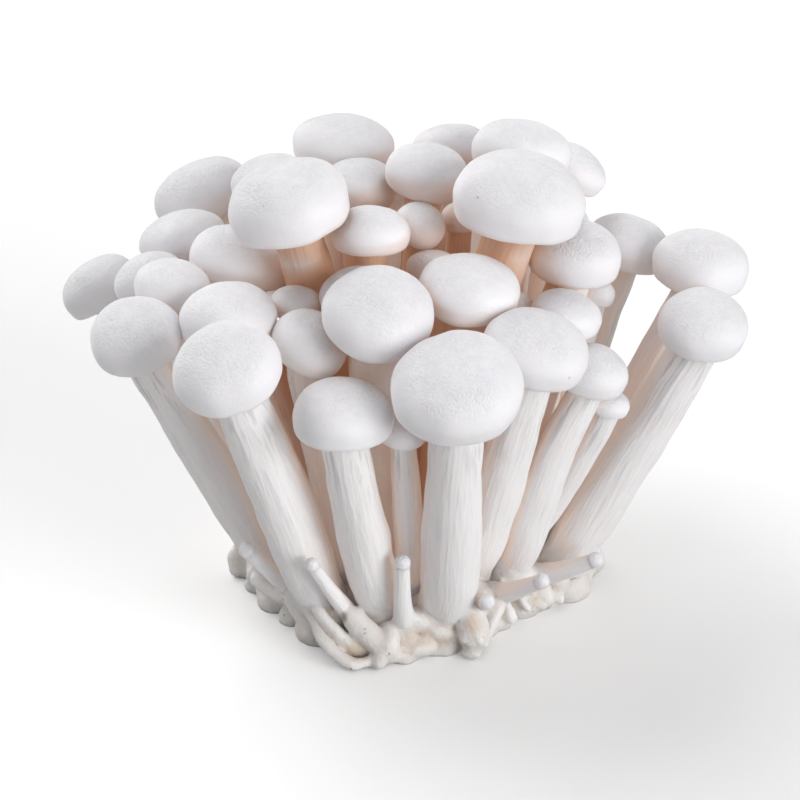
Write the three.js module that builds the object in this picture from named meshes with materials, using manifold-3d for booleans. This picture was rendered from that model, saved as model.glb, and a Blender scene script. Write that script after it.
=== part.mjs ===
// White shimeji (white beech mushroom) bunch, in millimetres, +Z up, standing on its cut foot.
// The front of the bunch faces -Y, and the origin is the middle of the cut face of the foot.
// Each mushroom is one solid: domed cap, short inrolled margin, hollow underside and stem. All the stems
// grow out of one mound of white mycelium, which is cut flat underneath.
import * as THREE from "three";
import Module from "manifold-3d";
import { mergeVertices } from "three/addons/utils/BufferGeometryUtils.js";

const wasm = await Module();
wasm.setup();

// The foot.
const FOOT_HALF_WIDTH = 38;
const FOOT_HALF_DEPTH = 33;
const FOOT_HEIGHT = 17;
const FOOT_SHOULDER = 5; // height of the foot at its edge
const FOOT_SIDES = 26;
const FOOT_POINT = 1.2; // powers of the outline in front and behind: 2 is an ellipse, 1 is a point
const FOOT_FULLNESS = 2.3;
const FOOT_TIP = -6; // how far its front point lies to the right of its middle

// How the stems stand in it.
const ROOT_REACH = 0.86; // the furthest root, as a share of the way to the foot's edge
const ROOT_DEPTH = 5; // how deep a stem goes into the foot
const SOCKET_GAP = 0.35; // clearance round a stem in the foot
const SOCKET_SIDES = 8;

// How a stem first runs, before its neighbours push it, as shares of its length: how far it rises out of
// the foot before it turns, and how far it hangs straight down from its cap. It leaves the foot leaning
// outwards by a share of its root's distance from the middle.
const RISE = 0.33;
const HANG = 0.3;
const FLARE = 0.25;

// Crowding: stems push each other and the caps aside until they are this far apart.
const STEM_GAP = 0.8;
const CAP_GAP = 0.8;
const CAP_SHOULDER = 0.6; // share of a stem's radius that is kept clear above and below a cap
const STEM_POINTS = 14;
const GROWTH_STEPS = 160;
const STIFFNESS = 0.22;
const SHARE_OF_PUSH = 0.5; // each of two neighbours gives way by half of what is missing
const PUSH_UPWARDS = 0.2; // stems give way sideways rather than up and down

// One row for each mushroom: x, y and z of the middle of its cap, cap width, lean of the cap to the right
// and to the back in degrees, its plumpness, the share of the width that the cap is high, and its stem's
// width as a share of the cap's, where that isn't the usual one.
const MUSHROOMS = [
  // front row
  [-36, -44, 74, 20.5, -13, -24, 0.64, 0.52],
  [-14, -41, 62.5, 20, 2, 0, 0.6, 0.48],
  [8, -46, 71, 25, 0, -22, 0.62, 0.44],
  [23.5, -29, 70.5, 20.5, 12, -8, 0.62],
  [-2.5, -33, 55.5, 11, 0, -10, 0.62],
  // left side
  [-54.7, -23.3, 70.6, 18, -7, -22, 0.63],
  [-36.5, -21, 73.5, 19, 0, -2, 0.62],
  [-48.4, -8, 74, 15.5, 2, 0, 0.62],
  [-54, 6, 68.8, 15, -20, 0, 0.62],
  [-65.2, 17, 62, 16.4, -32, 5, 0.66],
  [-48, 21.5, 70.8, 18, -13, 5, 0.56],
  [-45, 40.5, 72.5, 21.5, -22, 7, 0.6],
  // middle
  [-20.5, -25, 69.8, 15.2, 22, -15, 0.68],
  [-23.8, -12.2, 72.1, 10.5, 0, 5, 0.6],
  [-7, -29.5, 78.5, 22, 9, -16, 0.62],
  [-12.2, -14.2, 75.2, 13.6, -18, 0, 0.7],
  [3.5, -2.5, 75.3, 10.5, 0, 5, 0.62],
  [10.5, -16, 77, 20, 3, -2, 0.62],
  [-35, 5, 74, 21, 9, 3, 0.56],
  [-25, -6, 91, 25, -13, 0, 0.62, 0.4],
  [-9, -4, 84, 16.5, 0, 5, 0.56, 0.45],
  [1, 4.5, 81.5, 10.5, 15, -25, 0.66],
  [9.5, 22, 75, 8.5, 4, 0, 0.7],
  // right side
  [30, -13, 70, 14.5, 13, 4, 0.6, 0.45],
  [20.5, -8.5, 70, 7, 17, 0, 0.62],
  [35, -20, 61, 14, 11, -8, 0.66, 0.53],
  [39, -16, 51.5, 8, 13, 0, 0.66],
  [32, 2, 76.5, 19, 4, -4, 0.64],
  [37.3, 5, 66, 7, 13, 0, 0.8],
  [44.5, 23, 68.5, 18, 16, 5, 0.64, 0.4],
  [58.5, 11, 69.8, 19.4, 5, 2, 0.68],
  [57.8, -7, 65, 18.5, 7, -12, 0.62, 0.54],
  // top and back
  [20.8, -3, 91, 25.7, 7, -5, 0.62, 0.42],
  [2.5, 15, 88.5, 16.5, 9, -8, 0.62],
  [-11, 20, 83.5, 15.5, 5, 1, 0.62],
  [-30.5, 25, 82.4, 15.6, -18, 10, 0.62],
  [-15, 37.5, 85, 21.8, 5, 10, 0.55],
  [8, 39, 83.5, 16.5, 0, 12, 0.58],
  [22, 23, 90, 20, 7, 8, 0.6],
  [33.4, 32.5, 81.5, 14.5, 34, 5, 0.62],
  [-27, 46, 69, 17.5, -8, 18, 0.6],
  [-5, 50, 70.5, 19.5, -2, 21, 0.6],
  [13.5, 51, 69.5, 17, 4, 22, 0.6],
  [28.5, 45, 64, 18, 10, 19, 0.6],
  [-47, 47, 53, 17.5, -17, 13, 0.6],
  [39, 44, 51, 16, 15, 18, 0.6],
  [-27, 56, 43.5, 16.5, -8, 25, 0.6],
  [-3, 60, 56, 15.5, 0, 25, 0.6],
  [18, 59, 52, 15, 8, 25, 0.6],
];

// Pins: mushrooms that stopped growing as short tapered stubs, round the edge of the foot. The columns are
// the same.
const PINS = [
  [-20.5, -35, 25.5, 3.2, -18, -26, 0.9, 0.9],
  [-2.5, -35, 26, 3.6, 0, -14, 0.8, 0.92],
  [14.5, -31.5, 15, 3.6, 14, -30, 0.8, 0.9],
  [25.5, -26, 16.5, 3.8, 20, -20, 0.8, 0.9],
  [37, -15, 15, 3.8, 30, -12, 0.8, 0.9],
  [-34, -23, 22, 3.8, -30, -10, 0.8, 0.9],
  [-39.5, 2.5, 16, 3.6, -30, 2, 0.8, 0.9],
  [-9, 34, 18, 4, -8, 25, 0.8, 0.8],
  [5, 35, 18, 4, 4, 25, 0.8, 0.8],
  [35, 18, 18, 4.2, 25, 18, 0.8, 0.8],
];

// Where a root lies, as a share of the way out that its cap does.
const ROOT_SPREAD = 0.5;
const PIN_ROOT_SPREAD = 0.9;

// Stem width as a share of cap width, for a full mushroom and for the small ones with narrow caps.
const STEM_WIDTH = 0.48;
const YOUNG_STEM_WIDTH = 0.64;
const YOUNG_CAP = 9;

// Sides of the lathe for caps up to each width.
const SIDES = [
  [10, 8],
  [16, 10],
  [Infinity, 12],
];

// The stem in section, from root to joint: share of its length, share of its half width.
const STEM_SECTION = [
  [0, 0.84],
  [0.14, 1.04],
  [0.4, 1.12],
  [0.72, 1.02],
  [1, 0.94],
];
const PIN_STEM_SECTION = [
  [0, 1.45],
  [0.55, 1.1],
  [1, 0.88],
];

// The cap in section, from near its joint with the stem, out to the margin and up to near the crown. The
// first number is a share of the cap's half width, the second of its half height, from the cap's middle.
const CAP_SECTION = [
  [0.62, -0.52],
  [0.83, -0.62],
  [0.97, -0.3],
  [1.0, 0.02],
  [0.86, 0.5],
  [0.5, 0.86],
];
const JOINT_HEIGHT = -0.3; // where the stem meets the underside
const MOUTH_ROOM = 1.1; // the cap's opening is at least this many times as wide as its stem

const degrees = THREE.MathUtils.degToRad;

// The foot's outline narrows to a blunt point in front, is fuller behind, and has shallow lobes: how much
// it swells past its ellipse in the direction of a place.
function swell(x, y) {
  const around = Math.atan2(y / FOOT_HALF_DEPTH, x / FOOT_HALF_WIDTH);
  const power = y < 0 ? FOOT_POINT : FOOT_FULLNESS;
  const across = Math.abs(Math.cos(around)) ** power + Math.abs(Math.sin(around)) ** power;
  return across ** (-1 / power) * (1 + 0.025 * Math.sin(3 * around + 1) + 0.025 * Math.sin(7 * around));
}

// How far to the right the foot lies at a distance back from its middle.
function skew(y) {
  return (FOOT_TIP * Math.max(0, -y)) / FOOT_HALF_DEPTH;
}

// How far out a place on the foot is: 0 in the middle, 1 at its edge.
function wayOut(x, y) {
  const across = x - skew(y);
  return Math.hypot(across / FOOT_HALF_WIDTH, y / FOOT_HALF_DEPTH) / swell(across, y);
}

// Height of the top of the foot above the cut face.
function moundHeight(out) {
  return FOOT_SHOULDER + (FOOT_HEIGHT - FOOT_SHOULDER) * Math.sqrt(1 - Math.min(1, out) ** 2.5);
}

// Puts a root back on the foot: inside its edge, and ROOT_DEPTH below its surface.
function seatRoot(root) {
  const back = Math.min(1, ROOT_REACH / wayOut(root.x, root.y));
  root.x *= back;
  root.y *= back;
  root.z = moundHeight(wayOut(root.x, root.y)) - ROOT_DEPTH;
}

// A cap's place and size, with the stem as a first smooth curve from its root to its joint.
function sprout([x, y, z, width, right, back, plump, stem], spread, section) {
  const centre = new THREE.Vector3(x, y, z);
  const axis = new THREE.Vector3(Math.tan(degrees(right)), Math.tan(degrees(back)), 1).normalize();
  const halfWidth = width / 2;
  const halfHeight = halfWidth * plump;
  const joint = centre.clone().addScaledVector(axis, JOINT_HEIGHT * halfHeight);
  const root = new THREE.Vector3(spread * x, spread * y, 0);
  seatRoot(root);
  const length = joint.distanceTo(root);
  const low = root.clone().add(new THREE.Vector3(FLARE * root.x, FLARE * root.y, RISE * length));
  const high = joint.clone().addScaledVector(axis, -HANG * length);
  const stemRadius = halfWidth * (stem ?? (width < YOUNG_CAP ? YOUNG_STEM_WIDTH : STEM_WIDTH));
  const points = new THREE.CubicBezierCurve3(root, low, high, joint).getPoints(STEM_POINTS - 1);
  const radii = points.map((_, i) => stemRadius * thickness(section, i / (STEM_POINTS - 1)));
  return { centre, axis, halfWidth, halfHeight, stemRadius, section, points, radii };
}

// The share of its half width that a stem has at a share of its length.
function thickness(section, along) {
  const next = section.findIndex(([at]) => at >= along);
  if (next <= 0) return section[0][1];
  const [[from, before], [to, after]] = section.slice(next - 1, next + 1);
  return THREE.MathUtils.mapLinear(along, from, to, before, after);
}

// Moves a point of a stem out of another mushroom's cap, sideways.
function clearOfCap(point, radius, cap) {
  const offset = point.clone().sub(cap.centre);
  const up = offset.dot(cap.axis);
  const side = offset.clone().addScaledVector(cap.axis, -up);
  const level = up / (cap.halfHeight + CAP_GAP + CAP_SHOULDER * radius);
  if (Math.abs(level) >= 1) return;
  const needed = (cap.halfWidth + radius + CAP_GAP) * Math.sqrt(1 - level * level);
  const now = side.length();
  if (now < needed) point.addScaledVector(side.normalize(), SHARE_OF_PUSH * (needed - now));
}

// Pushes two stems apart wherever they are too close. The joint end of a stem stays where it is.
function partStems(a, b) {
  for (let i = 0; i < STEM_POINTS - 1; i++) {
    for (let j = 0; j < STEM_POINTS - 1; j++) {
      const apart = b.points[j].clone().sub(a.points[i]);
      const needed = a.radii[i] + b.radii[j] + STEM_GAP;
      const now = apart.length();
      if (now >= needed) continue;
      apart.multiplyScalar((SHARE_OF_PUSH * (needed - now)) / Math.max(now, STEM_GAP));
      apart.z *= PUSH_UPWARDS;
      if (i < STEM_POINTS - 2) a.points[i].sub(apart);
      if (j < STEM_POINTS - 2) b.points[j].add(apart);
    }
  }
}

// Grows the stems together: each keeps itself smooth, and gives way to its neighbours and their caps.
function crowd(bunch) {
  for (let step = 0; step < GROWTH_STEPS; step++) {
    for (const m of bunch) {
      for (let i = 1; i < STEM_POINTS - 2; i++) {
        const middle = m.points[i - 1].clone().add(m.points[i + 1]).multiplyScalar(0.5);
        m.points[i].lerp(middle, STIFFNESS);
      }
    }
    bunch.forEach((a, n) => bunch.slice(n + 1).forEach((b) => partStems(a, b)));
    for (const m of bunch) {
      for (const other of bunch) {
        if (other === m) continue;
        for (let i = 1; i < STEM_POINTS - 2; i++) clearOfCap(m.points[i], m.radii[i], other);
      }
      seatRoot(m.points[0]);
    }
  }
}

// Makes a pin straight from the middle of its stem up, cap and all.
function straighten(pin) {
  const middle = STEM_POINTS / 2;
  const joint = pin.points.at(-1);
  for (let i = middle + 1; i < STEM_POINTS - 1; i++) {
    pin.points[i].lerpVectors(pin.points[middle], joint, (i - middle) / (STEM_POINTS - 1 - middle));
  }
  pin.axis = joint.clone().sub(pin.points[middle]).normalize();
  pin.centre = joint.clone().addScaledVector(pin.axis, -JOINT_HEIGHT * pin.halfHeight);
}

// The rings of a stem: each has a centre, an axis and a radius.
function stemStations(m) {
  const curve = new THREE.CatmullRomCurve3(m.points);
  return m.section.map(([along, wide]) => ({
    centre: curve.getPointAt(along),
    axis: curve.getTangentAt(along),
    radius: wide * m.stemRadius,
  }));
}

// One mushroom: a lathed stem and cap, with the stem's rings along its curve and the cap's rings square
// on the cap's axis.
function mushroomGeometry(m) {
  const stem = stemStations(m);
  const mouth = MOUTH_ROOM * stem.at(-1).radius;
  const capRing = (wide, high) => ({
    centre: m.centre.clone().addScaledVector(m.axis, high * m.halfHeight),
    axis: m.axis,
    radius: wide * m.halfWidth,
  });
  const cap = CAP_SECTION.map(([wide, high]) => capRing(Math.max(wide, mouth / m.halfWidth), high));
  const stations = [...stem, ...cap];
  return latheAlong([{ ...stations[0], radius: 0 }, ...stations, capRing(0, 1)], sidesFor(m));
}

// A lathe whose rings are moved to the given stations, each square to its own axis. A station with no
// radius closes an end.
function latheAlong(stations, sides) {
  const profile = stations.map(({ radius }, row) => new THREE.Vector2(radius, row));
  const geometry = new THREE.LatheGeometry(profile, sides);
  const position = geometry.getAttribute("position");
  for (let i = 0; i < position.count; i++) {
    const { centre, axis } = stations[i % stations.length];
    const across = new THREE.Vector3(1, 0, 0).addScaledVector(axis, -axis.x).normalize();
    const along = new THREE.Vector3().crossVectors(across, axis);
    const vertex = centre.clone();
    vertex.addScaledVector(across, position.getX(i)).addScaledVector(along, position.getZ(i));
    position.setXYZ(i, vertex.x, vertex.y, vertex.z);
  }
  return geometry;
}

function sidesFor(m) {
  return SIDES.find(([width]) => 2 * m.halfWidth <= width)[1];
}

// A closed geometry as a solid that can be cut, and a cut solid back as a geometry.
function solidOf(geometry) {
  const bare = new THREE.BufferGeometry()
    .setAttribute("position", geometry.getAttribute("position"))
    .setIndex(geometry.getIndex());
  const merged = mergeVertices(bare, 1e-3);
  return new wasm.Manifold(
    new wasm.Mesh({
      numProp: 3,
      vertProperties: merged.getAttribute("position").array,
      triVerts: new Uint32Array(merged.getIndex().array),
    }),
  );
}

function geometryOf(solid) {
  const { vertProperties, triVerts } = solid.getMesh();
  return new THREE.BufferGeometry()
    .setAttribute("position", new THREE.BufferAttribute(vertProperties, 3))
    .setIndex(new THREE.BufferAttribute(triVerts, 1));
}

// The space that the foot leaves for a stem: the stem's lowest part, a little wider and deeper.
function socket(m) {
  const [root, above] = stemStations(m);
  const widen = (ring) => ({ ...ring, radius: (ring.radius + SOCKET_GAP) / Math.cos(Math.PI / SOCKET_SIDES) });
  const stations = [root, above].map(widen);
  stations[0].centre = root.centre.clone().addScaledVector(root.axis, -SOCKET_GAP);
  const [floor, mouth] = stations.map((ring) => ({ ...ring, radius: 0 }));
  return solidOf(latheAlong([floor, ...stations, mouth], SOCKET_SIDES));
}

// The mound of mycelium, flat underneath, with a place for every stem.
function footGeometry(bunch) {
  const profile = [
    new THREE.Vector2(0, 0),
    new THREE.Vector2(0.9, 0),
    new THREE.Vector2(1, 0.45 * FOOT_SHOULDER),
    ...[0.96, 0.84, 0.64, 0.38, 0].map((out) => new THREE.Vector2(out, moundHeight(out))),
  ];
  const mound = new THREE.LatheGeometry(profile, FOOT_SIDES).rotateX(Math.PI / 2);
  const position = mound.getAttribute("position");
  for (let i = 0; i < position.count; i++) {
    const x = position.getX(i) * FOOT_HALF_WIDTH;
    const y = position.getY(i) * FOOT_HALF_DEPTH;
    const size = swell(x, y);
    position.setXY(i, x * size + skew(y * size), y * size);
  }
  return geometryOf(solidOf(mound).subtract(wasm.Manifold.union(bunch.map(socket))));
}

const flesh = new THREE.MeshStandardMaterial({ color: 0xf2eeea, roughness: 0.75, metalness: 0 });
const mycelium = new THREE.MeshStandardMaterial({ color: 0xe9e0d2, roughness: 0.9, metalness: 0 });

const mushrooms = MUSHROOMS.map((row) => sprout(row, ROOT_SPREAD, STEM_SECTION));
const pins = PINS.map((row) => sprout(row, PIN_ROOT_SPREAD, PIN_STEM_SECTION));
const bunch = [...mushrooms, ...pins];
crowd(bunch);
pins.forEach(straighten);

const shimeji = new THREE.Group();

// Adds a row of mushrooms, each placed by its root.
function plant(row, name) {
  row.forEach((m, n) => {
    const root = m.points[0];
    const mesh = new THREE.Mesh(mushroomGeometry(m).translate(-root.x, -root.y, -root.z), flesh);
    mesh.name = `${name}_${String(n + 1).padStart(2, "0")}`;
    mesh.position.copy(root);
    shimeji.add(mesh);
  });
}
plant(mushrooms, "mushroom");
plant(pins, "pin");

const foot = new THREE.Mesh(footGeometry(bunch), mycelium);
foot.name = "foot";
shimeji.add(foot);

export default shimeji;
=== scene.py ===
"""White shimeji (white beech mushroom) bunch, standing on its cut foot."""

import math

import bmesh
import bpy
import numpy as np
from mathutils import Matrix, Vector
from mathutils.bvhtree import BVHTree


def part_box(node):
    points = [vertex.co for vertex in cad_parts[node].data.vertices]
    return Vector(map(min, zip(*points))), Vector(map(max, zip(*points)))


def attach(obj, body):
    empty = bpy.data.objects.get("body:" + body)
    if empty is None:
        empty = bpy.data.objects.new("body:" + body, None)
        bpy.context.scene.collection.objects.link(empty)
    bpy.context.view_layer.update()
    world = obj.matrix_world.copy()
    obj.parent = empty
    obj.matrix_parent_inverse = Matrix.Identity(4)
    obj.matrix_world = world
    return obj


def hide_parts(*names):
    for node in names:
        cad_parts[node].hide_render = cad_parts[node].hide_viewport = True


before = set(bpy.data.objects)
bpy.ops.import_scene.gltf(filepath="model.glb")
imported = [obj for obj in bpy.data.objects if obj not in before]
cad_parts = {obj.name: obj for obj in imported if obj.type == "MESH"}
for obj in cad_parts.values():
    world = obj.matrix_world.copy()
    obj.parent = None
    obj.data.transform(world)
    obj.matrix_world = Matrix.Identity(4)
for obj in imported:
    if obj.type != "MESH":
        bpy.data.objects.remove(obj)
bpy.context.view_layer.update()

# ---------------------------------------------------------------- camera
# The bunch is looked at from in front and a little above, through a long lens, as goods on a white
# table are.

LOOK_FROM = Vector((-0.003, -0.6209, 0.3672))
LOOK_AT = Vector((-0.003, 0, 0.044))
LENS = 153.7  # mm
SENSOR_WIDTH = 36  # mm

lens = bpy.data.cameras.new("camera")
lens.lens = LENS
lens.sensor_width = SENSOR_WIDTH
camera = bpy.data.objects.new("camera", lens)
aim = (LOOK_AT - LOOK_FROM).to_track_quat("-Z", "Y")
camera.matrix_world = Matrix.Translation(LOOK_FROM) @ aim.to_matrix().to_4x4()
bpy.context.scene.collection.objects.link(camera)
bpy.context.scene.camera = camera

# ---------------------------------------------------------------- mushrooms
# Each is one growth: a fibrous stem that bends to clear its neighbours, and a domed cap with a short
# inrolled margin over thin radial gills. The flesh is white and lets light through, which turns warm on its
# way. The light brown and copper between the stems is painted shade, with a faint painted glow.

MM = 0.001

# The solid of a mushroom has this many rings in its cap. Its margin hangs this far below the middle of the
# cap, and its stem ends this far below it, as shares of the cap's half height.
CAP_RINGS = 6
MARGIN_DROP = 0.62
JOINT_DROP = 0.3
SAME_PLACE = 0.02 * MM
FEWEST_POLE_EDGES = 7

# The cap in section. Under the cap the first number is how far out it is from the stem to the lip, and
# on the lip and the dome it is a share of the half width. The second is a share of the half height.
LIP_REACH = 0.84
UNDERSIDE = [(0, -0.24), (0.3, -0.2), (0.65, -0.28), (0.9, -0.43)]
LIP = [(0.84, -0.56), (0.865, -0.61), (0.905, -0.6), (0.95, -0.5)]
DOME = [
    (0.985, -0.27),
    (1.0, 0.02),
    (0.955, 0.28),
    (0.86, 0.5),
    (0.7, 0.705),
    (0.5, 0.86),
    (0.27, 0.96),
    (0.12, 0.992),
    (0, 1.0),
]

# A cap narrower than this never opened. It is a little slimmer than its solid and round at the tip, with
# no gills, and its stem has fewer streaks.
STUB_HALF_WIDTH = 2.5 * MM
STUB_SLIMNESS = 0.88
STUB_SHOULDER = 0.7
STUB_RISE = 0.55

# How far an outline wanders from round, as shares of its radius. Under the cap it comes in over a distance.
OVALNESS = 0.025
LOBES = 0.018
LOBE_START = 0.3
STEM_FLATNESS = 0.05
WAVINESS = 0.058

STEM_ROWS = 44
CAP_ROWS = 46
SIDES_PER_MM = 3.4  # of cap width
FEWEST_SIDES = 40

# Long and short gills stand in turn. Their upper and lower edges follow curves over the way out from the
# stem, of which these are the factors of 1, the way out, and its third or second power.
GILLS_PER_MM = 1.5  # of cap width, long and short ones each
FEWEST_GILLS = 12
GILL_CELLS = 5
GILL_THICKNESS = 0.28 * MM
GILL_TOP = (-0.16, -0.05, -0.28)
GILL_EDGE = (-0.34, -0.32, 0.11)
GILL_ROOT = 0.96  # of the stem's radius
GILL_REACH = 0.97
SHORT_GILL_START = 0.45


class Wire:
    """A number that runs through a node tree. Arithmetic on it adds Math nodes."""

    def __init__(self, tree, socket):
        self.tree, self.socket = tree, socket

    def math(self, operation, *terms):
        settings = {"operation": operation}
        return self.tree.add("ShaderNodeMath", settings, dict(enumerate(terms)))["Value"]

    def __add__(self, other):
        return self.math("ADD", self, other)

    def __radd__(self, other):
        return self.math("ADD", other, self)

    def __sub__(self, other):
        return self.math("SUBTRACT", self, other)

    def __rsub__(self, other):
        return self.math("SUBTRACT", other, self)

    def __mul__(self, other):
        return self.math("MULTIPLY", self, other)

    def __rmul__(self, other):
        return self.math("MULTIPLY", other, self)

    def __truediv__(self, other):
        return self.math("DIVIDE", self, other)

    def __pow__(self, other):
        return self.math("POWER", self, other)


class Tree:
    """A node tree that is being built."""

    def __init__(self, nodes):
        self.nodes = nodes

    def add(self, kind, settings=None, inputs=None):
        """Adds a node and returns its outputs. Its settings are set first, then its sockets get values
        or links. A socket goes by its name, its identifier or its number."""
        node = self.nodes.nodes.new(kind)
        for name, value in (settings or {}).items():
            setattr(node, name, value)
        for key, value in (inputs or {}).items():
            socket = node.inputs[key] if isinstance(key, int) else by_name(node.inputs)[key]
            if isinstance(value, Wire):
                self.nodes.links.new(value.socket, socket)
            else:
                socket.default_value = value
        return {name: Wire(self, socket) for name, socket in by_name(node.outputs).items()}

    def attribute(self, name, output="Vector"):
        """What a mesh has stored, for a material."""
        return self.add("ShaderNodeAttribute", {"attribute_name": name})[output]

    def named(self, name, kind):
        """What a mesh has stored, for geometry nodes."""
        settings = {"data_type": kind}
        return self.add("GeometryNodeInputNamedAttribute", settings, {"Name": name})["Attribute"]

    def scaled(self, vector, factor):
        """A vector made longer or shorter."""
        inputs = {0: vector, "Scale": factor}
        return self.add("ShaderNodeVectorMath", {"operation": "SCALE"}, inputs)["Vector"]

    def moved(self, geometry, how, vector):
        """A geometry with its points at a new Position, or shifted by an Offset."""
        inputs = {"Geometry": geometry, how: vector}
        return self.add("GeometryNodeSetPosition", None, inputs)["Geometry"]

    def stretch(self, place, factors):
        """A place with each of its coordinates multiplied."""
        settings = {"operation": "MULTIPLY"}
        return self.add("ShaderNodeVectorMath", settings, {0: place, 1: factors})["Vector"]

    def cloud(self, place, scale, detail=2.0, distortion=0.0):
        """Smooth noise from 0 to 1, mostly near a half."""
        inputs = {"Vector": place, "Scale": scale, "Detail": detail, "Distortion": distortion}
        return self.add("ShaderNodeTexNoise", None, inputs)["Fac"]

    def band(self, value, low, high):
        """0 at low, 1 at high, and smooth between them."""
        settings = {"interpolation_type": "SMOOTHSTEP"}
        return self.add("ShaderNodeMapRange", settings, {0: value, 1: low, 2: high})["Result"]

    def blend(self, share, first, second):
        """A colour between two others."""
        inputs = {"Factor_Float": share, "A_Color": first, "B_Color": second}
        return self.add("ShaderNodeMix", {"data_type": "RGBA"}, inputs)["Result_Color"]

    def bump(self, height, depth):
        return self.add("ShaderNodeBump", None, {"Height": height, "Distance": depth})["Normal"]


def by_name(sockets):
    """Sockets by name, the first where names repeat, and by identifier."""
    names = {}
    for socket in sockets:
        names.setdefault(socket.name, socket)
    return {**names, **{socket.identifier: socket for socket in sockets}}


def finish(name, paint):
    """A material, with the surface that paint adds to its tree."""
    material = bpy.data.materials.new(name)
    material.use_nodes = True
    material.node_tree.nodes.clear()
    tree = Tree(material.node_tree)
    tree.add("ShaderNodeOutputMaterial", None, {"Surface": paint(tree)})
    return material


# How light spreads in the flesh: red goes the deepest, and in the stems it goes deeper than in the caps.
GLOW = {"Subsurface Weight": 0.35, "Subsurface Radius": (1.0, 0.75, 0.6)}
CAP_GLOW = {**GLOW, "Subsurface Scale": 1.2 * MM}
STEM_GLOW = {**GLOW, "Subsurface Scale": 3 * MM}
CAP_SHEEN = {"Sheen Weight": 0.5, "Sheen Roughness": 0.25}

CAP_WHITE = (0.87, 0.858, 0.88, 1)
# The crown's grey is partly its own tone and partly painted shade, the small shadows of its pucker.
CAP_CROWN_GREY_AND_SHADE = (0.815, 0.806, 0.84, 1)
CAP_SPECK = (0.45, 0.42, 0.40, 1)
STEM_WHITE = (0.885, 0.868, 0.872, 1)
STEM_FIBRE = (0.58, 0.56, 0.575, 1)
GILL_CREAM = (0.82, 0.77, 0.70, 1)

# Flesh between the stems, where little light gets in, has painted shade in its colour: a light brown, and
# copper in the deepest gaps. A faint painted glow there stands for light that comes through the stems.
# Caps take less of the painted shade than stems. The heart of the bunch reaches this far out at the table,
# and further for each metre up, and it is a little wider from side to side.
HEART_REACH = 8 * MM
HEART_SPREAD = 0.75
HEART_SQUEEZE = 0.9
PAINTED_SHADE_BAND = (0.5, 0.85)
PAINTED_DEEP_SHADE_BAND = (0.68, 0.9)
CAP_PAINTED_SHADE = 0.3
PAINTED_SHADE_BROWN = (0.86, 0.77, 0.71, 1)
PAINTED_SHADE_COPPER = (0.64, 0.41, 0.29, 1)
NO_PAINTED_GLOW = (0, 0, 0, 1)
PAINTED_GLOW = (0.065, 0.052, 0.046, 1)
PAINTED_DEEP_GLOW = (0.055, 0.03, 0.018, 1)


def flesh_with_painted_shade(tree, colour, painted_shade_share):
    """The colour and glow of flesh that has a colour of its own in the open, with painted shade and a
    painted glow where it is sheltered.
    """
    shelter = tree.attribute("shelter", "Fac")
    place = tree.add("ShaderNodeTexCoord")["Object"]
    corner = tree.add("ShaderNodeSeparateXYZ", None, {"Vector": place})
    reach = HEART_REACH + corner["Z"] * HEART_SPREAD
    heart = 1 - ((corner["X"] * HEART_SQUEEZE) ** 2.0 + corner["Y"] ** 2.0) ** 0.5 / reach
    # Painted shade: light brown where sheltered and copper deep in the heart of the bunch, with a faint
    # painted glow in both.
    shut = tree.band(shelter, *PAINTED_SHADE_BAND) * painted_shade_share
    painted_deep_shade = tree.band((shelter + heart) * 0.6, *PAINTED_DEEP_SHADE_BAND) * painted_shade_share
    return {
        "Base Color": tree.blend(painted_deep_shade, tree.blend(shut, colour, PAINTED_SHADE_BROWN), PAINTED_SHADE_COPPER),
        "Emission Color": tree.blend(painted_deep_shade, tree.blend(shut, NO_PAINTED_GLOW, PAINTED_GLOW), PAINTED_DEEP_GLOW),
        "Emission Strength": 1.0,
    }


# The grain of the skins, in features for each metre.
PUCKER, MOTTLE, WEAR = 1900, 480, 90
SPECK, SPECK_PATCH = 190, 60
FIBRE, STRAND, STREAK_PATCH = 1500, 560, 150
GILL_MOTTLE = 300
CAP_BUMP = 0.5 * MM
STEM_BUMP = 0.3 * MM


def cap_skin(tree):
    """Matt white, finely puckered on the crown, with a few dark specks; the crown's grey mottle is partly
    painted shade.
    """
    place = tree.add("ShaderNodeTexCoord")["Object"]
    crown = tree.band(tree.attribute("rise", "Fac"), 1.45, 1.95)
    pucker = tree.cloud(place, PUCKER, distortion=0.3)
    mottle = tree.cloud(place, MOTTLE, detail=3)
    worn = tree.band(tree.cloud(place, WEAR), 0.35, 0.65)
    # Painted shade in part: the grey mottle on the crown stands for the small shadows of the pucker.
    grey = crown * tree.band(mottle * 0.5 + pucker * 0.5, 0.38, 0.62)
    speck_inputs = {"Vector": place, "Scale": SPECK}
    to_speck = tree.add("ShaderNodeTexVoronoi", None, speck_inputs)["Distance"]
    speck = (1 - tree.band(to_speck, 0.03, 0.07)) * tree.band(tree.cloud(place, SPECK_PATCH), 0.6, 0.64)
    colour = tree.blend(grey, CAP_WHITE, CAP_CROWN_GREY_AND_SHADE)
    colour = tree.blend(speck * 0.6, colour, CAP_SPECK)
    relief = (pucker + mottle * 0.5) * (0.15 + crown * (0.3 + worn * 0.5))
    inputs = {
        **flesh_with_painted_shade(tree, colour, CAP_PAINTED_SHADE),
        "Roughness": 0.55,
        "Normal": tree.bump(relief, CAP_BUMP),
    }
    return tree.add("ShaderNodeBsdfPrincipled", None, {**inputs, **CAP_GLOW, **CAP_SHEEN})["BSDF"]


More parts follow.
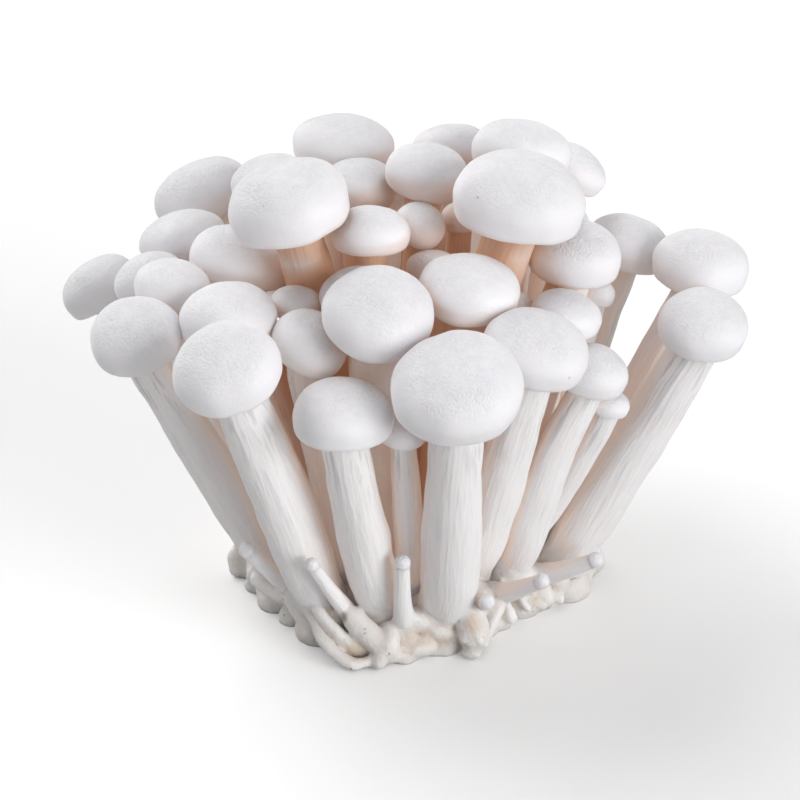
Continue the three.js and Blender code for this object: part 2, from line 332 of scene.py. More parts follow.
def stem_skin(tree):
    """White fibres that run up the stem, with clearer grey streaks between them near the cap."""
    grown = tree.attribute("grown")
    rise = tree.attribute("rise", "Fac")
    fibre = tree.cloud(tree.stretch(grown, (1, 1, 0.09)), FIBRE, detail=3)
    strand = tree.cloud(tree.stretch(grown, (1, 1, 0.05)), STRAND, detail=3)
    patch = tree.cloud(tree.stretch(grown, (1, 1, 0.25)), STREAK_PATCH)
    near_cap = tree.band(rise + patch * 0.5, 0.75, 1.25)
    streak = tree.band(strand * 0.5 + fibre * 0.5, 0.5, 0.6) * (0.12 + near_cap * 0.6)
    colour = tree.blend(streak, STEM_WHITE, STEM_FIBRE)
    inputs = {
        **flesh_with_painted_shade(tree, colour, 1.0),
        "Roughness": 0.5,
        "Normal": tree.bump(fibre + strand, STEM_BUMP),
    }
    return tree.add("ShaderNodeBsdfPrincipled", None, {**inputs, **STEM_GLOW})["BSDF"]


def gill_skin(tree):
    """Cream, mottled with white."""
    place = tree.add("ShaderNodeTexCoord")["Object"]
    colour = tree.blend(tree.cloud(place, GILL_MOTTLE), GILL_CREAM, CAP_WHITE)
    inputs = {**flesh_with_painted_shade(tree, colour, CAP_PAINTED_SHADE), "Roughness": 0.6, **CAP_GLOW}
    return tree.add("ShaderNodeBsdfPrincipled", None, inputs)["BSDF"]


STEM, CAP, GILL = range(3)
SKINS = [finish("stem_fibres", stem_skin), finish("cap_skin", cap_skin), finish("gills", gill_skin)]

# The relief that is real: waves all over and fibres up the stem, in features for each metre.
WAVE_GRAIN = 110
FIBRE_GRAIN = 520


def make_shaper():
    """Geometry nodes that finish a mushroom: waves and fibres in its skin, and gills under its cap."""
    group = bpy.data.node_groups.new("mushroom_shaper", "GeometryNodeTree")
    sockets = [
        ("Skin", "NodeSocketGeometry", None),
        ("Seed", "NodeSocketFloat", 0.0),
        ("Wave Height", "NodeSocketFloat", 0.5 * MM),
        ("Fibre Height", "NodeSocketFloat", 0.2 * MM),
        ("Gill Count", "NodeSocketInt", 24),
        ("Gill Root", "NodeSocketFloat", 4 * MM),
        ("Gill Tip", "NodeSocketFloat", 8 * MM),
        ("Half Height", "NodeSocketFloat", 6 * MM),
        ("Cap Middle", "NodeSocketVector", (0, 0, 0)),
        ("Cap Turn", "NodeSocketRotation", (0, 0, 0)),
        ("Gill Material", "NodeSocketMaterial", None),
    ]
    for name, kind, default in sockets:
        socket = group.interface.new_socket(name, in_out="INPUT", socket_type=kind)
        if default is not None:
            socket.default_value = default
    group.interface.new_socket("Mushroom", in_out="OUTPUT", socket_type="NodeSocketGeometry")
    tree = Tree(group)
    given = tree.add("NodeGroupInput")

    grown = tree.named("grown", "FLOAT_VECTOR")
    rise = tree.named("rise", "FLOAT")
    fibre_place = tree.stretch(grown, (1, 1, 0.06))

    def seeded(place, scale):
        inputs = {"Vector": place, "W": given["Seed"], "Scale": scale, "Detail": 1.0}
        return tree.add("ShaderNodeTexNoise", {"noise_dimensions": "4D"}, inputs)["Fac"] - 0.5

    on_stem = 1 - tree.band(rise, 0.95, 1.0)
    height = seeded(grown, WAVE_GRAIN) * given["Wave Height"] * 2.0
    height = height + seeded(fibre_place, FIBRE_GRAIN) * given["Fibre Height"] * on_stem * 2.0
    normal = tree.add("GeometryNodeInputNormal")["Normal"]
    skin = tree.moved(given["Skin"], "Offset", tree.scaled(normal, height))

    def gills(start, first_turn):
        """Blades from a share of the way out, as thin boxes bent to the underside of the cap."""
        box = tree.add("GeometryNodeMeshCube", None, {"Vertices X": GILL_CELLS + 1})["Mesh"]
        place = tree.add("GeometryNodeInputPosition")["Position"]
        corner = tree.add("ShaderNodeSeparateXYZ", None, {"Vector": place})
        out = (corner["X"] + 0.5) * (1 - start) + start
        down = 0.5 - corner["Z"]
        top = GILL_TOP[0] + GILL_TOP[1] * out + GILL_TOP[2] * out**3.0
        edge = GILL_EDGE[0] + GILL_EDGE[1] * out + GILL_EDGE[2] * out**2.0
        reach = given["Gill Tip"] - given["Gill Root"]
        shape = {
            "X": given["Gill Root"] + out * reach * GILL_REACH,
            "Y": corner["Y"] * GILL_THICKNESS * (1.3 - down * 0.8),
            "Z": (top + down * (edge - top)) * given["Half Height"],
        }
        shape = tree.add("ShaderNodeCombineXYZ", None, shape)["Vector"]
        blade = tree.moved(box, "Position", shape)
        inputs = {"Count": given["Gill Count"], "Offset": (0, 0, 0)}
        spots = tree.add("GeometryNodeMeshLine", None, inputs)["Mesh"]
        share = tree.add("GeometryNodeInputIndex")["Index"] + first_turn
        angle = share.math("DIVIDE", share, given["Gill Count"]) * math.tau
        turn = tree.add("ShaderNodeCombineXYZ", None, {"Z": angle})["Vector"]
        inputs = {"Points": spots, "Instance": blade, "Rotation": turn}
        return tree.add("GeometryNodeInstanceOnPoints", None, inputs)["Instances"]

    join = group.nodes.new("GeometryNodeJoinGeometry")
    for start, first_turn in ((0.0, 0.0), (SHORT_GILL_START, 0.5)):
        group.links.new(gills(start, first_turn).socket, join.inputs[0])
    inputs = {
        "Geometry": Wire(tree, join.outputs[0]),
        "Translation": given["Cap Middle"],
        "Rotation": given["Cap Turn"],
    }
    placed = tree.add("GeometryNodeTransform", None, inputs)["Geometry"]
    real = tree.add("GeometryNodeRealizeInstances", None, {"Geometry": placed})["Geometry"]
    inputs = {"Geometry": real, "Material": given["Gill Material"]}
    lined = tree.add("GeometryNodeSetMaterial", None, inputs)["Geometry"]
    both = group.nodes.new("GeometryNodeJoinGeometry")
    group.links.new(lined.socket, both.inputs[0])
    group.links.new(skin.socket, both.inputs[0])
    tree.add("NodeGroupOutput", None, {"Mushroom": Wire(tree, both.outputs[0])})
    return group


def unit(vectors):
    return vectors / np.linalg.norm(vectors, axis=-1, keepdims=True)


def through(knots, values, at):
    """A smooth curve that has the given values at its knots, read at each place in at."""
    knots, values, at = (np.asarray(numbers, float) for numbers in (knots, values, at))
    values = values.reshape(len(knots), -1)
    slopes = np.gradient(values, knots, axis=0)
    low = np.clip(np.searchsorted(knots, at) - 1, 0, len(knots) - 2)
    span = (knots[low + 1] - knots[low])[:, None]
    t = (at - knots[low])[:, None] / span
    here, there = values[low], values[low + 1]
    bend = slopes[low] * span * (t - 2 * t**2 + t**3) + slopes[low + 1] * span * (t**3 - t**2)
    return here + (there - here) * (3 * t**2 - 2 * t**3) + bend


def along(points):
    """How far along a line each of its points lies."""
    steps = np.linalg.norm(np.diff(points, axis=0), axis=1)
    return np.concatenate([[0], np.cumsum(steps)])


def rings_of(node):
    """The middle and radius of each ring of a solid, from its root up to its crown."""
    bm = bmesh.new()
    bm.from_mesh(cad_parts[node].data)
    bmesh.ops.remove_doubles(bm, verts=bm.verts, dist=SAME_PLACE)
    poles = sorted((v for v in bm.verts if len(v.link_edges) >= FEWEST_POLE_EDGES), key=lambda v: v.co.z)
    ring, seen, middles, radii = [poles[0]], {poles[0]}, [], []
    while ring:
        points = np.array([v.co for v in ring])
        middles.append(points.mean(axis=0))
        radii.append(np.linalg.norm(points - middles[-1], axis=1).mean())
        near = dict.fromkeys(edge.other_vert(v) for v in ring for edge in v.link_edges)
        ring = [v for v in near if v not in seen]
        seen.update(ring)
    bm.free()
    return np.array(middles), np.array(radii)


# How sheltered a place is: the share of a fan of rays from it that meet other flesh. It sets where shade is
# painted into the flesh.
SHELTER_RAYS = 48
SHELTER_ROWS = 22
SHELTER_COLUMNS = 10
SHELTER_REACH = 60 * MM
SHELTER_LIFT = 0.9 * MM
SHELTER_GRAZE = 0.05  # rays flatter than this to the skin don't count


def solid_tree():
    """All the solids in one search tree."""
    points, faces = [], []
    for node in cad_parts.values():
        start = len(points)
        points += [v.co.copy() for v in node.data.vertices]
        faces += [[start + v for v in face.vertices] for face in node.data.polygons]
    return BVHTree.FromPolygons(points, faces)


def even_directions(count):
    """Directions spread evenly over a sphere."""
    step = np.arange(count) + 0.5
    up = 1 - 2 * step / count
    turn = math.pi * (1 + math.sqrt(5)) * step
    across = np.sqrt(1 - up**2)
    return np.stack([across * np.cos(turn), across * np.sin(turn), up], -1)


def shelter_of(points, outwards):
    """How sheltered each point of a skin is, from 0 in the open to 1."""
    shelters = []
    for point, out in zip(points, outwards):
        start = Vector(point + out * SHELTER_LIFT)
        facing = [(Vector(ray), ray @ out) for ray in RAYS if ray @ out > SHELTER_GRAZE]
        met = sum(weight for ray, weight in facing if SOLIDS.ray_cast(start, ray, SHELTER_REACH)[0])
        shelters.append(met / sum(weight for _, weight in facing))
    return np.array(shelters)


SOLIDS = solid_tree()
RAYS = even_directions(SHELTER_RAYS)


def shelter_over(grid):
    """How sheltered each point of a ringed skin is: found at some of its points and spread to the rest."""
    round_it = np.roll(grid, -1, 1) - np.roll(grid, 1, 1)
    outwards = unit(np.cross(round_it, np.gradient(grid, axis=0)))
    rows = np.unique(np.linspace(0, grid.shape[0] - 1, SHELTER_ROWS).round().astype(int))
    columns = np.arange(SHELTER_COLUMNS) * grid.shape[1] // SHELTER_COLUMNS
    picked = np.ix_(rows, columns)
    found = shelter_of(grid[picked].reshape(-1, 3), outwards[picked].reshape(-1, 3))
    found = found.reshape(len(rows), len(columns))
    turns = np.arange(grid.shape[1])
    wide = np.array([np.interp(turns, columns, row, period=grid.shape[1]) for row in found])
    return np.array([np.interp(np.arange(grid.shape[0]), rows, column) for column in wide.T]).T


def loft(name, middles, axes, radii, grown, rise, sides, skin_of_row):
    """A closed skin over rings that stand square to their axes, with its growth kept on its points."""
    turn = np.linspace(0, math.tau, sides, endpoint=False)
    across = unit(np.array([1.0, 0, 0]) - axes * axes[:, :1])
    beyond = np.cross(axes, across)
    spokes = np.cos(turn)[:, None] * across[:, None] + np.sin(turn)[:, None] * beyond[:, None]
    grid = middles[:, None] + radii[:, :, None] * spokes
    points = grid.reshape(-1, 3)
    flat = np.stack([radii * np.cos(turn), radii * np.sin(turn), np.repeat(grown[:, None], sides, 1)], -1)
    faces, skins = [], []
    for row in range(len(middles) - 1):
        low, high = row * sides, (row + 1) * sides
        for j in range(sides):
            k = (j + 1) % sides
            faces.append((low + j, low + k, high + k, high + j))
            skins.append(skin_of_row[row])
    root, crown = len(points), len(points) + 1
    top = (len(middles) - 1) * sides
    for j in range(sides):
        k = (j + 1) % sides
        faces += [(root, k, j), (top + j, top + k, crown)]
        skins += [skin_of_row[0], skin_of_row[-1]]
    points = np.vstack([points, middles[0], middles[-1]])
    mesh = bpy.data.meshes.new(name)
    mesh.from_pydata(points.tolist(), [], faces)
    mesh.polygons.foreach_set("material_index", skins)
    mesh.polygons.foreach_set("use_smooth", [True] * len(faces))
    flat = np.vstack([flat.reshape(-1, 3), [0, 0, grown[0]], [0, 0, grown[-1]]])
    stored = mesh.attributes.new("grown", "FLOAT_VECTOR", "POINT")
    stored.data.foreach_set("vector", flat.astype(np.float32).ravel())
    shelter = shelter_over(grid)
    for label, value in (("rise", np.repeat(rise[:, None], sides, 1)), ("shelter", shelter)):
        stored = mesh.attributes.new(label, "FLOAT", "POINT")
        stored.data.foreach_set("value", [*value.ravel(), value[0].mean(), value[-1].mean()])
    return mesh


def place_piece(mesh, node):
    """Puts a finished piece into the bunch in place of its solid."""
    piece = bpy.data.objects.new(mesh.name, mesh)
    bpy.context.scene.collection.objects.link(piece)
    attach(piece, "root")
    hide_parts(node)


def shaped(mesh, group, inputs):
    """The mesh that a group of geometry nodes makes of this one."""
    worked = bpy.data.objects.new(mesh.name, mesh)
    bpy.context.scene.collection.objects.link(worked)
    modifier = worked.modifiers.new("shape", "NODES")
    modifier.node_group = group
    for item in group.interface.items_tree:
        if item.in_out == "INPUT" and item.name in inputs:
            modifier[item.identifier] = inputs[item.name]
    seen = worked.evaluated_get(bpy.context.evaluated_depsgraph_get())
    result = bpy.data.meshes.new_from_object(seen)
    worked.modifiers.clear()
    bpy.data.objects.remove(worked)
    name = mesh.name
    bpy.data.meshes.remove(mesh)
    result.name = name
    return result


def grow(node, seed):
    """The fine mesh of a mushroom, over the rings of its solid."""
    middles, radii = rings_of(node)
    stem = slice(1, len(middles) - CAP_RINGS - 1)
    crown, margin = middles[-1], middles[stem.stop + 1]
    axis = unit(crown - margin)
    half_height = np.linalg.norm(crown - margin) / (1 + MARGIN_DROP)
    centre = crown - axis * half_height
    half_width = radii[stem.stop :].max()
    chance = np.random.default_rng(seed)

    line = np.vstack([middles[stem], centre])
    knots = along(line)
    length = knots[-2]
    rows = np.linspace(0, length, STEM_ROWS)
    stem_middles = through(knots, line, rows)
    stem_axes = unit(np.gradient(stem_middles, axis=0))
    stem_radii = through(knots[:-1], radii[stem], rows)[:, 0]

    stub = half_width < STUB_HALF_WIDTH
    half_width *= STUB_SLIMNESS if stub else 1
    share = radii[stem.stop - 1] / half_width
    under = [(share + out * (LIP_REACH - share), high) for out, high in UNDERSIDE]
    section = np.array([(share, -STUB_SHOULDER), *DOME] if stub else under + LIP + DOME)
    section_along = along(section)
    cap_rows = np.linspace(0, section_along[-1], CAP_ROWS)[:-1]
    wide, high = through(section_along, section, cap_rows).T
    cap_middles = centre + (high * half_height)[:, None] * axis
    cap_axes = np.repeat(axis[None], len(high), 0)

    sides = max(FEWEST_SIDES, round(SIDES_PER_MM * 2 * half_width / MM))
    turn = np.linspace(0, math.tau, sides, endpoint=False)
    oval = OVALNESS * np.cos(2 * (turn - chance.uniform(0, math.tau)))
    lobed = LOBES * np.cos(3 * (turn - chance.uniform(0, math.tau)))
    flat = STEM_FLATNESS * np.cos(2 * (turn - chance.uniform(0, math.tau)))
    stem_outline = 1 + flat[None] * np.sin(np.linspace(0, math.pi, STEM_ROWS))[:, None]
    cap_outline = 1 + (oval + lobed)[None] * np.clip((wide - share) / LOBE_START, 0, 1)[:, None]

    skins = [GILL if r < LIP_REACH and h < 0 and not stub else CAP for r, h in zip(wide, high)]
    stem_rise = rows / length * (STUB_RISE if stub else 1)
    mesh = loft(
        node + "_flesh",
        np.vstack([stem_middles, cap_middles]),
        np.vstack([stem_axes, cap_axes]),
        np.vstack([stem_radii[:, None] * stem_outline, (wide * half_width)[:, None] * cap_outline]),
        np.concatenate([rows - length, (high + JOINT_DROP) * half_height]),
        np.concatenate([stem_rise, 1 + (high + MARGIN_DROP) / (1 + MARGIN_DROP)]),
        sides,
        [STEM] * STEM_ROWS + skins,
    )
    for skin in SKINS:
        mesh.materials.append(skin)
    turned = Vector((0, 0, 1)).rotation_difference(Vector(axis))
    inputs = {
        "Seed": float(seed),
        "Gill Count": 0 if stub else max(FEWEST_GILLS, round(GILLS_PER_MM * 2 * half_width / MM)),
        "Gill Root": GILL_ROOT * share * half_width,
        "Gill Tip": LIP_REACH * half_width,
        "Half Height": half_height,
        "Cap Middle": centre.tolist(),
        "Cap Turn": list(turned.to_euler()),
        "Gill Material": SKINS[GILL],
        "Wave Height": WAVINESS * half_width,
    }
    return shaped(mesh, SHAPER, inputs)


SHAPER = make_shaper()
for seed, node in enumerate(sorted(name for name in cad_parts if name.startswith("mushroom_")), 1):
    place_piece(grow(node, seed), node)

# ---------------------------------------------------------------- pins
# Mushrooms that stopped growing while they were stubs, round the edge of the foot. Their flesh is the
# same.

PIN_SEED = 100

for seed, node in enumerate(sorted(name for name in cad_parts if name.startswith("pin_")), PIN_SEED):
    place_piece(grow(node, seed), node)

# ---------------------------------------------------------------- foot
# One cushion of mycelium that all the stems grow from, cut flat with a knife underneath. It is cream felt,
# whiter up the stems, and its side is a press of fused rolls and knobs that never became mushrooms.

# The base of each stem swells into the cushion, by a share of its own radius that falls over this height,
# and runs on down to the cut face, leaning outwards. The toe ends a share of its radius above that face.
COLLAR_HEIGHT = 9 * MM
COLLAR_SWELL = 1.2
COLLAR_TIP = 0.92
COLLAR_STEPS = 9
TOE_STEPS = 8
TOE_SPREAD = 0.3
TOE_LIFT = 0.3

# Balls fill the middle, in rings at these shares of the way out and at these heights.
FILL_RINGS = (0.15, 0.4, 0.6)
FILL_STEP = 0.35
FILL_RADIUS = 5 * MM
FILL_HEIGHTS = (2 * MM, 6 * MM)

VOXEL = 0.65 * MM
SKIN_DENSITY = 0.2  # of the cloud of balls, where the skin lies
SMALLEST_SHELL = 1000  # points
SMOOTHING = 1
HOLLOW_SMOOTHING = 8
LUMP_GRAIN = 260  # for each metre
LUMP_SEED = 3.0

# The rolls and knobs that show in front, in millimetres: a radius, and points that each runs through.
ROLLS = [
    # a spoon: a thick curled edge, a ridge above it, and the slab between them
    (
        1.5,
        [(-20.5, -25.5, 7.5), (-18.4, -30, 4.6), (-15.4, -32.6, 2.6), (-12, -33.8, 1.5), (-8.6, -32.6, 1.8)],
    ),
    (1.5, [(-21, -24.5, 11), (-17.6, -28.6, 8), (-13.6, -30.4, 4.8), (-10.8, -30.6, 3)]),
    (2.2, [(-22, -22, 9), (-17.4, -27.4, 5.6), (-13.6, -29.6, 3.2), (-10, -29.6, 2.4)]),
    (2.6, [(-24.5, -18, 8), (-20, -22.5, 8), (-16, -25, 7)]),
    # a broad tongue
    (2.8, [(-12.4, -28.2, 9), (-9.8, -30, 6.6), (-6.8, -31, 4.2), (-4.8, -31, 2.7)]),
    # a block in two parts with a crack between them
    (2.7, [(-1.4, -27.6, 8), (2.2, -27.4, 8.2)]),
    (2.8, [(-1, -28.8, 2.6), (2.4, -28.2, 2.6)]),
    (2.4, [(4.4, -27.6, 6), (7.4, -26.6, 4)]),
    # a knob with a smaller roll behind it and beads on it
    (3.5, [(11.4, -27, 8.2), (12, -27.8, 4)]),
    (1.7, [(17.4, -19.6, 7.4), (15.8, -22.8, 4.6), (14.2, -24.4, 2)]),
    (1.1, [(9.8, -30.1, 4.9), (9.9, -30.1, 4.9)]),
    (1.0, [(11.4, -30.7, 4.3), (11.5, -30.7, 4.3)]),
    (1.1, [(13.1, -30.5, 4.9), (13.2, -30.5, 4.9)]),
    (1.0, [(14.2, -29.7, 3.7), (14.3, -29.7, 3.7)]),
    (1.5, [(10.6, -29.4, 1.5), (12.4, -29.7, 1.5)]),
    # nubs up the right side
    (1.5, [(19.2, -17.2, 4.6), (20, -18, 2.6)]),
    (1.1, [(22.2, -15, 5), (23.4, -15.4, 3.6)]),
    (1.6, [(25.4, -11, 4), (26.4, -11.8, 2.4)]),
    (1.3, [(29.2, -8.8, 3), (30.4, -9.6, 2.2)]),
    # a thin saucer edge on the right
    (1.1, [(28.6, -9, 8.4), (33, -7, 6.6), (37, -4, 7.4), (38.4, -0.6, 9)]),
    # the left skirt
    (2.0, [(-32.4, -11, 8), (-29, -13.8, 6.6), (-25.6, -16.8, 7)]),
    (1.8, [(-25.6, -17.6, 7.4), (-23.2, -20.8, 5), (-21.4, -23.4, 2.6)]),
]

# The rolls round the rest of the side are left to chance, within these limits: radius, height of the top
# and its drift in millimetres, and how far out the top and the low end are, as shares of the rim, where
# the solid of the foot is widest. The middle of a roll bulges outwards.
RIM_HEIGHT = 2.25 * MM
CHANCE_ROLLS = 44
ROLL_RADIUS = (1.1, 2.7)
ROLL_TOP = (4, 11)
ROLL_DRIFT = 3.5
ROLL_TOP_REACH = (0.8, 0.88)
ROLL_LOW_REACH = (0.9, 0.99)
ROLL_LOW_LIFT = 0.8  # of its radius
ROLL_BULGE = 0.06
ROLL_ENDS = 0.9  # of the radius at the middle
ROLL_SEED = 7

# The felt's own cream, darkened with painted shade.
SHADED_MYCELIUM_CREAM = (0.73, 0.695, 0.66, 1)
# The felt's own tan, which also paints shade in the hollows.
MYCELIUM_TAN_AND_SHADE = (0.60, 0.45, 0.32, 1)
SCRAP_BROWN = (0.25, 0.15, 0.08, 1)
RUSSET = (0.50, 0.26, 0.15, 1)

# Marks on the felt in front: how strong, a colour, a middle and a radius in millimetres.
MARKS = [
    (0.55, MYCELIUM_TAN_AND_SHADE, (11.6, -30.4, 8.6), 3.2),
    (0.75, SCRAP_BROWN, (-14.2, -29.2, 9.6), 1.3),
    (0.4, RUSSET, (16.4, -23.5, 9), 2.4),
    (0.6, MYCELIUM_TAN_AND_SHADE, (-12.2, -32.2, 3), 3.2),
    (0.4, MYCELIUM_TAN_AND_SHADE, (6.4, -29.6, 4.4), 2.6),
]

# The grain of the felt, in features for each metre.
STAIN, SCRAP = 120, 420
FUZZ, PILE = 1100, 320
FELT_BUMP = 0.24 * MM


def mycelium(tree):
    """Cream, whiter up the stems, with tan stains and a few brown scraps; paler on swellings and tan in
    hollows as painted light and shade.
    """
    place = tree.add("ShaderNodeTexCoord")["Object"]
    height = tree.add("ShaderNodeSeparateXYZ", None, {"Vector": place})["Z"] / MM
    hollow = tree.attribute("hollow", "Fac")
    patch = tree.cloud(place, STAIN, detail=4, distortion=0.6)
    low = 1 - tree.band(height + patch * 8, 9, 18)
    colour = tree.blend(low * 0.9, STEM_WHITE, SHADED_MYCELIUM_CREAM)
    # Painted light: paler on the swellings.
    colour = tree.blend(tree.band(hollow, -0.1, -0.6) * low, colour, STEM_WHITE)
    # Tan stains, drawn more into the hollows, which is partly painted shade.
    stain = tree.band(patch + hollow * 0.25, 0.54, 0.7) * low
    colour = tree.blend(stain * 0.5, colour, MYCELIUM_TAN_AND_SHADE)
    # Painted shade: tan in the hollows.
    colour = tree.blend(tree.band(hollow, 0.08, 0.45) * 0.8, colour, MYCELIUM_TAN_AND_SHADE)
    for strength, mark, middle, radius in MARKS:
        ends = {0: place, 1: tuple(number * MM for number in middle)}
        away = tree.add("ShaderNodeVectorMath", {"operation": "DISTANCE"}, ends)["Value"] / (radius * MM)
        spread = 1 - tree.band(away + patch, 0.7, 1.5)
        colour = tree.blend(spread * strength, colour, mark)
    scrap = tree.band(tree.cloud(place, SCRAP), 0.68, 0.72) * low
    colour = tree.blend(scrap * 0.6, colour, SCRAP_BROWN)
    fuzz = tree.cloud(place, FUZZ, detail=3) + tree.cloud(place, PILE, detail=3)
    inputs = {
        **flesh_with_painted_shade(tree, colour, 1.0),
        "Roughness": 0.5,
        "Normal": tree.bump(fuzz, FELT_BUMP),
    }
    return tree.add("ShaderNodeBsdfPrincipled", None, {**inputs, **STEM_GLOW})["BSDF"]


def make_cushion():
    """Geometry nodes that grow one skin over balls, roughen it, and cut it flat underneath."""
    group = bpy.data.node_groups.new("cushion_grower", "GeometryNodeTree")
    for name, kind, default in (
        ("Balls", "NodeSocketGeometry", None),
        ("Voxel", "NodeSocketFloat", VOXEL),
        ("Seed", "NodeSocketFloat", 0.0),
        ("Lump Height", "NodeSocketFloat", 0.55 * MM),
        ("Material", "NodeSocketMaterial", None),
    ):
        socket = group.interface.new_socket(name, in_out="INPUT", socket_type=kind)
        if default is not None:
            socket.default_value = default
    group.interface.new_socket("Cushion", in_out="OUTPUT", socket_type="NodeSocketGeometry")
    tree = Tree(group)
    given = tree.add("NodeGroupInput")
    radius = tree.named("radius", "FLOAT")
    inputs = {"Mesh": given["Balls"], "Radius": radius}
    balls = tree.add("GeometryNodeMeshToPoints", None, inputs)["Points"]
    settings = {"resolution_mode": "VOXEL_SIZE"}
    inputs = {"Points": balls, "Voxel Size": given["Voxel"], "Radius": radius}
    volume = tree.add("GeometryNodePointsToVolume", settings, inputs)["Volume"]
    inputs = {"Volume": volume, "Voxel Size": given["Voxel"], "Threshold": SKIN_DENSITY}
    skin = tree.add("GeometryNodeVolumeToMesh", settings, inputs)["Mesh"]

    # Little hollows that the balls shut in between them are left out.
    shell = tree.add("GeometryNodeInputMeshIsland")["Island Index"]
    settings = {"data_type": "INT", "domain": "POINT"}
    inputs = {"Value": 1, "Group Index": shell}
    size = tree.add("GeometryNodeAccumulateField", settings, inputs)["Total"]
    small = size.math("LESS_THAN", size, SMALLEST_SHELL)
    inputs = {"Geometry": skin, "Selection": small}
    skin = tree.add("GeometryNodeDeleteGeometry", {"domain": "POINT"}, inputs)["Geometry"]

    def blurred(steps):
        place = tree.add("GeometryNodeInputPosition")["Position"]
        inputs = {"Value": place, "Iterations": steps}
        return tree.add("GeometryNodeBlurAttribute", {"data_type": "FLOAT_VECTOR"}, inputs)["Value"]

    skin = tree.moved(skin, "Position", blurred(SMOOTHING))
    place = tree.add("GeometryNodeInputPosition")["Position"]
    normal = tree.add("GeometryNodeInputNormal")["Normal"]
    ends = {0: blurred(HOLLOW_SMOOTHING), 1: place}
    inward = tree.add("ShaderNodeVectorMath", {"operation": "SUBTRACT"}, ends)["Vector"]
    pair = {0: inward, 1: normal}
    hollow = tree.add("ShaderNodeVectorMath", {"operation": "DOT_PRODUCT"}, pair)["Value"]
    inputs = {"Geometry": skin, "Name": "hollow", "Value": hollow * (1 / MM)}
    skin = tree.add("GeometryNodeStoreNamedAttribute", {"data_type": "FLOAT"}, inputs)["Geometry"]
    inputs = {"Vector": place, "W": given["Seed"], "Scale": LUMP_GRAIN, "Detail": 3.0}
    lump = tree.add("ShaderNodeTexNoise", {"noise_dimensions": "4D"}, inputs)["Fac"] - 0.5
    push = tree.scaled(normal, lump * given["Lump Height"] * 2.0)
    skin = tree.moved(skin, "Offset", push)
    corner = tree.add("ShaderNodeSeparateXYZ", None, {"Vector": place})
    level = corner["Z"].math("MAXIMUM", corner["Z"], 0.0)
    cut = {"X": corner["X"], "Y": corner["Y"], "Z": level}
    cut = tree.add("ShaderNodeCombineXYZ", None, cut)["Vector"]
    skin = tree.moved(skin, "Position", cut)
    skin = tree.add("GeometryNodeSetShadeSmooth", None, {"Geometry": skin})["Geometry"]
    skin = tree.add("GeometryNodeRealizeInstances", None, {"Geometry": skin})["Geometry"]
    inputs = {"Geometry": skin, "Material": given["Material"]}
    skin = tree.add("GeometryNodeSetMaterial", None, inputs)["Geometry"]
    tree.add("NodeGroupOutput", None, {"Cushion": skin})
    return group


def roll(radius, points):
    """Balls along a smooth line through some points, in millimetres, thinner towards its ends."""
    line = np.array(points) * MM
    knots = along(line)
    steps = np.linspace(0, knots[-1], 2 + round(2 * knots[-1] / (radius * MM)))
    thick = radius * MM * (ROLL_ENDS + (1 - ROLL_ENDS) * np.sin(math.pi * steps / knots[-1]))
    return list(zip(through(knots, line, steps), thick))


def chance_rolls(seed):
    """Rolls that hang down the side of the foot, all round it."""
    chance = np.random.default_rng(seed)
    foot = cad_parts["foot"].data.vertices
    rim = np.array([v.co for v in foot if abs(v.co.z - RIM_HEIGHT) < SAME_PLACE]) / MM
    turns = np.arctan2(rim[:, 1], rim[:, 0])
    rim = rim[np.argsort(turns)]
    turns = np.sort(turns)
    rolls = []
    for turn in chance.uniform(-math.pi, math.pi, CHANCE_ROLLS):
        foot_of_roll = np.array([np.interp(turn, turns, rim[:, axis]) for axis in range(3)])
        radius = chance.uniform(*ROLL_RADIUS)
        top = foot_of_roll * chance.uniform(*ROLL_TOP_REACH)
        top[:2] += chance.uniform(-ROLL_DRIFT, ROLL_DRIFT, 2)
        top[2] = chance.uniform(*ROLL_TOP)
        low = foot_of_roll * chance.uniform(*ROLL_LOW_REACH)
        low[2] = ROLL_LOW_LIFT * radius
        middle = (top + low) / 2 + np.array([*(ROLL_BULGE * foot_of_roll[:2]), 0])
        rolls += roll(radius, [top, middle, low])
    return rolls


def cushion_balls():
    """The balls that the cushion is grown over: places and radii."""
    low, high = (np.array(corner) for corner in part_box("foot"))
    middle, half = (low + high) / 2, (high - low) / 2
    balls = chance_rolls(ROLL_SEED)
    for radius, points in ROLLS:
        balls += roll(radius, points)
    for node in BUNCH:
        middles, radii = rings_of(node)
        line, wide = middles[1 : -CAP_RINGS - 1], radii[1 : -CAP_RINGS - 1]
        steps = np.linspace(0, COLLAR_HEIGHT, COLLAR_STEPS)
        knots = along(line)
        thick = through(knots, wide, steps)[:, 0]
        share = COLLAR_SWELL + (COLLAR_TIP - COLLAR_SWELL) * steps / COLLAR_HEIGHT
        balls += zip(through(knots, line, steps), thick * share)
        root, radius = line[0], COLLAR_SWELL * wide[0]
        outwards = np.array([root[0] - middle[0], root[1] - middle[1], 0]) * TOE_SPREAD
        for step in np.linspace(0, 1, TOE_STEPS):
            place = root + outwards * step**2 * root[2] / half[0]
            place[2] = root[2] * (1 - step) + TOE_LIFT * radius * step
            balls.append((place, radius))
    for out in FILL_RINGS:
        for turn in np.arange(0, math.tau, FILL_STEP / out):
            place = middle + half * np.array([out * math.cos(turn), out * math.sin(turn), 0])
            balls += [(np.array([place[0], place[1], z]), FILL_RADIUS) for z in FILL_HEIGHTS]
    return balls


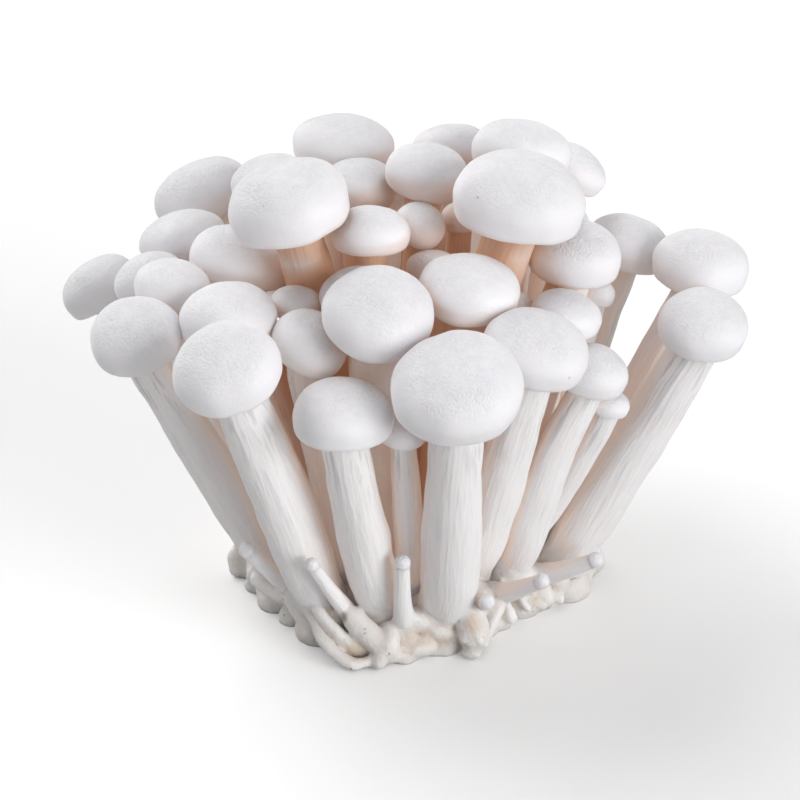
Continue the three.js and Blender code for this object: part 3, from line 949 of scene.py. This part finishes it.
BUNCH = [name for name in sorted(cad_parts) if name != "foot"]
balls = cushion_balls()
points = bpy.data.meshes.new("foot_mycelium")
points.from_pydata([place.tolist() for place, _ in balls], [], [])
radius = points.attributes.new("radius", "FLOAT", "POINT")
radius.data.foreach_set("value", [size for _, size in balls])
inputs = {"Seed": LUMP_SEED, "Material": finish("mycelium", mycelium)}
foot = shaped(points, make_cushion(), inputs)
place_piece(foot, "foot")

# ---------------------------------------------------------------- floor
# A plain white table top, which shows as white wherever the bunch throws no shadow on it.

TABLE_SIZE = 6  # m
TABLE_GREY = (0.55, 0.55, 0.55, 1)
TABLE_WHITE = (0.95, 0.95, 0.95, 1)
TABLE_LIFT = 0.12

bpy.ops.mesh.primitive_plane_add(size=TABLE_SIZE)
floor = bpy.context.object
floor.name = "floor"


def table_top(tree):
    seen = tree.add("ShaderNodeLightPath")["Is Camera Ray"]
    shade = tree.blend(seen, TABLE_GREY, TABLE_WHITE)
    matt = tree.add("ShaderNodeBsdfDiffuse", None, {"Color": shade})["BSDF"]
    inputs = {"Color": (1, 1, 1, 1), "Strength": seen * TABLE_LIFT}
    lift = tree.add("ShaderNodeEmission", None, inputs)["Emission"]
    return tree.add("ShaderNodeAddShader", None, {0: matt, 1: lift})["Shader"]


floor.data.materials.append(finish("table_top", table_top))

# ---------------------------------------------------------------- light
# A white room fills the shadows. One wide lamp stands low on the right in front, and two stand behind on
# the left, one above the other, which give the caps their bright rims.

ROOM = 0.42
SPREAD = 40  # degrees across, as seen from the bunch

world = bpy.data.worlds.new("room")
world.use_nodes = True
world.node_tree.nodes.clear()
tree = Tree(world.node_tree)
path = tree.add("ShaderNodeLightPath")
shows = path["Is Camera Ray"].math("MAXIMUM", path["Is Camera Ray"], path["Is Glossy Ray"])
shows = shows.math("MAXIMUM", shows, path["Is Transmission Ray"])
strength = ROOM + shows * (1 - ROOM)
inputs = {"Color": (1, 1, 1, 1), "Strength": strength}
backdrop = tree.add("ShaderNodeBackground", None, inputs)["Background"]
tree.add("ShaderNodeOutputWorld", None, {"Surface": backdrop})
bpy.context.scene.world = world


def wide_lamp(name, strength, turn, height):
    """A lamp that stands so many degrees round to the right of the camera and above the table."""
    turn, height = math.radians(turn), math.radians(height)
    lamp = bpy.data.lights.new(name, "SUN")
    lamp.energy = math.pi * strength
    lamp.angle = math.radians(SPREAD)
    stand = bpy.data.objects.new(name, lamp)
    flat = math.cos(height)
    place = Vector((math.sin(turn) * flat, -math.cos(turn) * flat, math.sin(height)))
    stand.rotation_euler = place.to_track_quat("Z", "Y").to_euler()
    bpy.context.scene.collection.objects.link(stand)


wide_lamp("key", 0.72, 50, 12)
wide_lamp("rim", 0.36, -150, 20)
wide_lamp("left", 0.34, -120, 50)

bpy.context.scene.view_settings.view_transform = "Standard"
